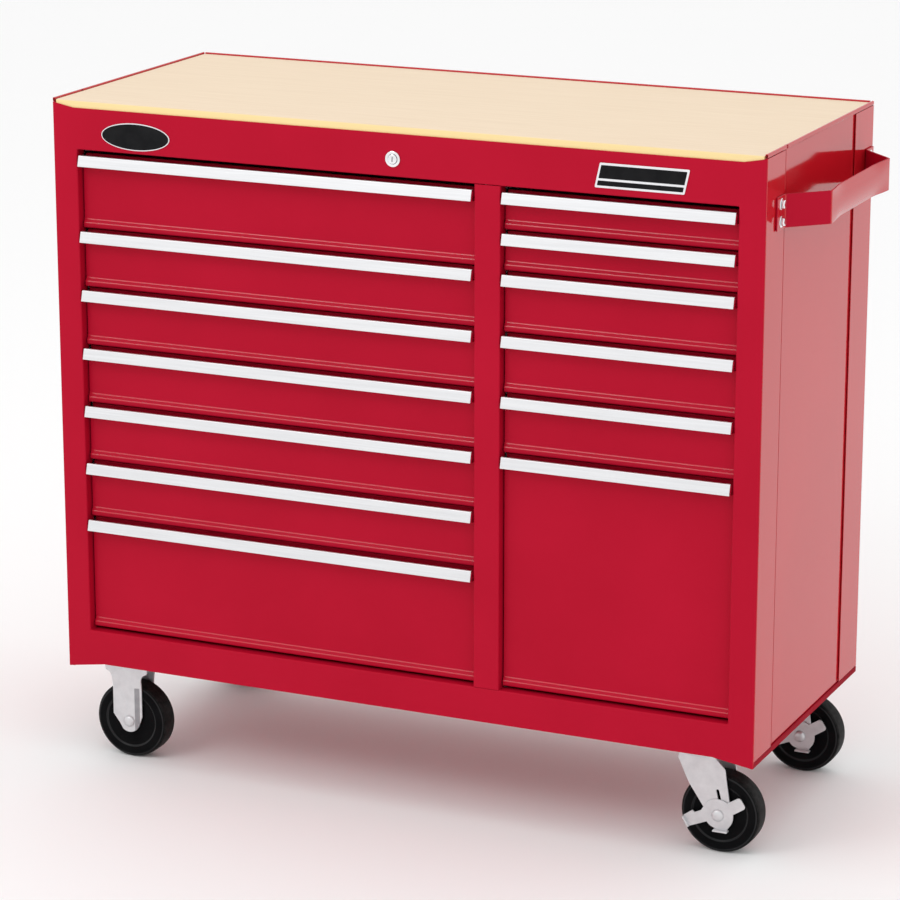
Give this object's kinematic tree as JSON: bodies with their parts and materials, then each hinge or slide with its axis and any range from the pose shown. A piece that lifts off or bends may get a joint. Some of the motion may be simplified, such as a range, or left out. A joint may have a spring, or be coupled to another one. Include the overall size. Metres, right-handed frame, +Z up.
{
  "type": "rolling tool chest",
  "caption": "Steel tool cabinet on casters, with banks of sliding drawers under a wooden worktop, a side handle and a drawer lock.",
  "frame": {"origin": "on the floor under the middle of the chest's footprint, handle included", "axes": "+Z up, the drawers open towards -Y, the handle is at +X"},
  "size_m": [1.091, 0.4454, 0.964],
  "materials": {
    "red_paint": "glossy red enamel on steel sheet",
    "bright_trim": "satin bright trim",
    "zinc_plate": "satin zinc plate",
    "chrome": "polished",
    "black_wheel": "glossy black moulded disc with a duller tread",
    "wood": "clear-sealed pale board"
  },
  "bodies": {
    "cabinet": {"front_frame": "red_paint", "left_side_panel": "red_paint", "right_side_panel": "red_paint", "back_panel": "red_paint", "centre_post": "red_paint", "centre_partition": "zinc_plate", "top_tray": "red_paint", "bottom_pan": "red_paint", "worktop": "wood", "left_bank_left_slides": "zinc_plate", "left_bank_right_slides": "zinc_plate", "right_bank_left_slides": "zinc_plate", "right_bank_right_slides": "zinc_plate", "side_handle": "red_paint", "lock_housing": "chrome", "front_rigid_fork": "zinc_plate", "front_rigid_axle": "zinc_plate", "rear_rigid_fork": "zinc_plate", "rear_rigid_axle": "zinc_plate", "front_swivel_plate": "zinc_plate", "rear_swivel_plate": "zinc_plate"},
    "left_drawer_1": {"left_drawer_1_pan": "red_paint", "left_drawer_1_pull": "bright_trim"},
    "left_drawer_2": {"left_drawer_2_pan": "red_paint", "left_drawer_2_pull": "bright_trim"},
    "left_drawer_3": {"left_drawer_3_pan": "red_paint", "left_drawer_3_pull": "bright_trim"},
    "left_drawer_4": {"left_drawer_4_pan": "red_paint", "left_drawer_4_pull": "bright_trim"},
    "left_drawer_5": {"left_drawer_5_pan": "red_paint", "left_drawer_5_pull": "bright_trim"},
    "left_drawer_6": {"left_drawer_6_pan": "red_paint", "left_drawer_6_pull": "bright_trim"},
    "left_drawer_7": {"left_drawer_7_pan": "red_paint", "left_drawer_7_pull": "bright_trim"},
    "right_drawer_1": {"right_drawer_1_pan": "red_paint", "right_drawer_1_pull": "bright_trim"},
    "right_drawer_2": {"right_drawer_2_pan": "red_paint", "right_drawer_2_pull": "bright_trim"},
    "right_drawer_3": {"right_drawer_3_pan": "red_paint", "right_drawer_3_pull": "bright_trim"},
    "right_drawer_4": {"right_drawer_4_pan": "red_paint", "right_drawer_4_pull": "bright_trim"},
    "right_drawer_5": {"right_drawer_5_pan": "red_paint", "right_drawer_5_pull": "bright_trim"},
    "right_drawer_6": {"right_drawer_6_pan": "red_paint", "right_drawer_6_pull": "bright_trim"},
    "lock_plug": {"lock_plug": "chrome"},
    "lock_bar": {"lock_bar": "zinc_plate"},
    "front_rigid_wheel": {"front_rigid_wheel": "black_wheel"},
    "front_swivel": {"front_swivel_fork": "zinc_plate", "front_swivel_axle": "zinc_plate"},
    "front_swivel_wheel": {"front_swivel_wheel": "black_wheel"},
    "front_brake": {"front_brake_lever": "zinc_plate"},
    "rear_rigid_wheel": {"rear_rigid_wheel": "black_wheel"},
    "rear_swivel": {"rear_swivel_fork": "zinc_plate", "rear_swivel_axle": "zinc_plate"},
    "rear_swivel_wheel": {"rear_swivel_wheel": "black_wheel"},
    "rear_brake": {"rear_brake_lever": "zinc_plate"}
  },
  "joints": [
    {"name": "left_drawer_1_slide", "type": "slide", "parent": "cabinet", "child": "left_drawer_1", "axis": [0, -1, 0], "range_m": [0, 0.34]},
    {"name": "left_drawer_2_slide", "type": "slide", "parent": "cabinet", "child": "left_drawer_2", "axis": [0, -1, 0], "range_m": [0, 0.34]},
    {"name": "left_drawer_3_slide", "type": "slide", "parent": "cabinet", "child": "left_drawer_3", "axis": [0, -1, 0], "range_m": [0, 0.34]},
    {"name": "left_drawer_4_slide", "type": "slide", "parent": "cabinet", "child": "left_drawer_4", "axis": [0, -1, 0], "range_m": [0, 0.34]},
    {"name": "left_drawer_5_slide", "type": "slide", "parent": "cabinet", "child": "left_drawer_5", "axis": [0, -1, 0], "range_m": [0, 0.34]},
    {"name": "left_drawer_6_slide", "type": "slide", "parent": "cabinet", "child": "left_drawer_6", "axis": [0, -1, 0], "range_m": [0, 0.34]},
    {"name": "left_drawer_7_slide", "type": "slide", "parent": "cabinet", "child": "left_drawer_7", "axis": [0, -1, 0], "range_m": [0, 0.34]},
    {"name": "right_drawer_1_slide", "type": "slide", "parent": "cabinet", "child": "right_drawer_1", "axis": [0, -1, 0], "range_m": [0, 0.34]},
    {"name": "right_drawer_2_slide", "type": "slide", "parent": "cabinet", "child": "right_drawer_2", "axis": [0, -1, 0], "range_m": [0, 0.34]},
    {"name": "right_drawer_3_slide", "type": "slide", "parent": "cabinet", "child": "right_drawer_3", "axis": [0, -1, 0], "range_m": [0, 0.34]},
    {"name": "right_drawer_4_slide", "type": "slide", "parent": "cabinet", "child": "right_drawer_4", "axis": [0, -1, 0], "range_m": [0, 0.34]},
    {"name": "right_drawer_5_slide", "type": "slide", "parent": "cabinet", "child": "right_drawer_5", "axis": [0, -1, 0], "range_m": [0, 0.34]},
    {"name": "right_drawer_6_slide", "type": "slide", "parent": "cabinet", "child": "right_drawer_6", "axis": [0, -1, 0], "range_m": [0, 0.34]},
    {"name": "lock_turn", "type": "hinge", "parent": "cabinet", "child": "lock_plug", "pos_m": [-0.027, -0.21725, 0.918], "axis": [0, 1, 0], "range_deg": [0, 90]},
    {"name": "lock_bar_slide", "type": "slide", "parent": "cabinet", "child": "lock_bar", "axis": [0, 0, -1], "range_m": [0, 0.008]},
    {"name": "front_rigid_wheel_spin", "type": "hinge", "parent": "cabinet", "child": "front_rigid_wheel", "pos_m": [-0.465, -0.16725, 0.056], "axis": [0, 1, 0], "continuous": true},
    {"name": "front_swivel_turn", "type": "hinge", "parent": "cabinet", "child": "front_swivel", "pos_m": [0.406, -0.16725, 0.137], "axis": [0, 0, 1], "continuous": true},
    {"name": "front_swivel_wheel_spin", "type": "hinge", "parent": "front_swivel", "child": "front_swivel_wheel", "pos_m": [0.438, -0.16725, 0.056], "axis": [0, 1, 0], "continuous": true},
    {"name": "front_brake_press", "type": "hinge", "parent": "front_swivel", "child": "front_brake", "pos_m": [0.438, -0.16725, 0.056], "axis": [0, 1, 0], "range_deg": [0, 18]},
    {"name": "rear_rigid_wheel_spin", "type": "hinge", "parent": "cabinet", "child": "rear_rigid_wheel", "pos_m": [-0.465, 0.17275, 0.056], "axis": [0, 1, 0], "continuous": true},
    {"name": "rear_swivel_turn", "type": "hinge", "parent": "cabinet", "child": "rear_swivel", "pos_m": [0.406, 0.17275, 0.137], "axis": [0, 0, 1], "continuous": true},
    {"name": "rear_swivel_wheel_spin", "type": "hinge", "parent": "rear_swivel", "child": "rear_swivel_wheel", "pos_m": [0.438, 0.17275, 0.056], "axis": [0, 1, 0], "continuous": true},
    {"name": "rear_brake_press", "type": "hinge", "parent": "rear_swivel", "child": "rear_brake", "pos_m": [0.438, 0.17275, 0.056], "axis": [0, 1, 0], "range_deg": [0, 18]}
  ],
  "couplings": [
    {"joint": "lock_turn", "follows": "lock_bar_slide", "rad_per_m": 196.3}
  ]
}
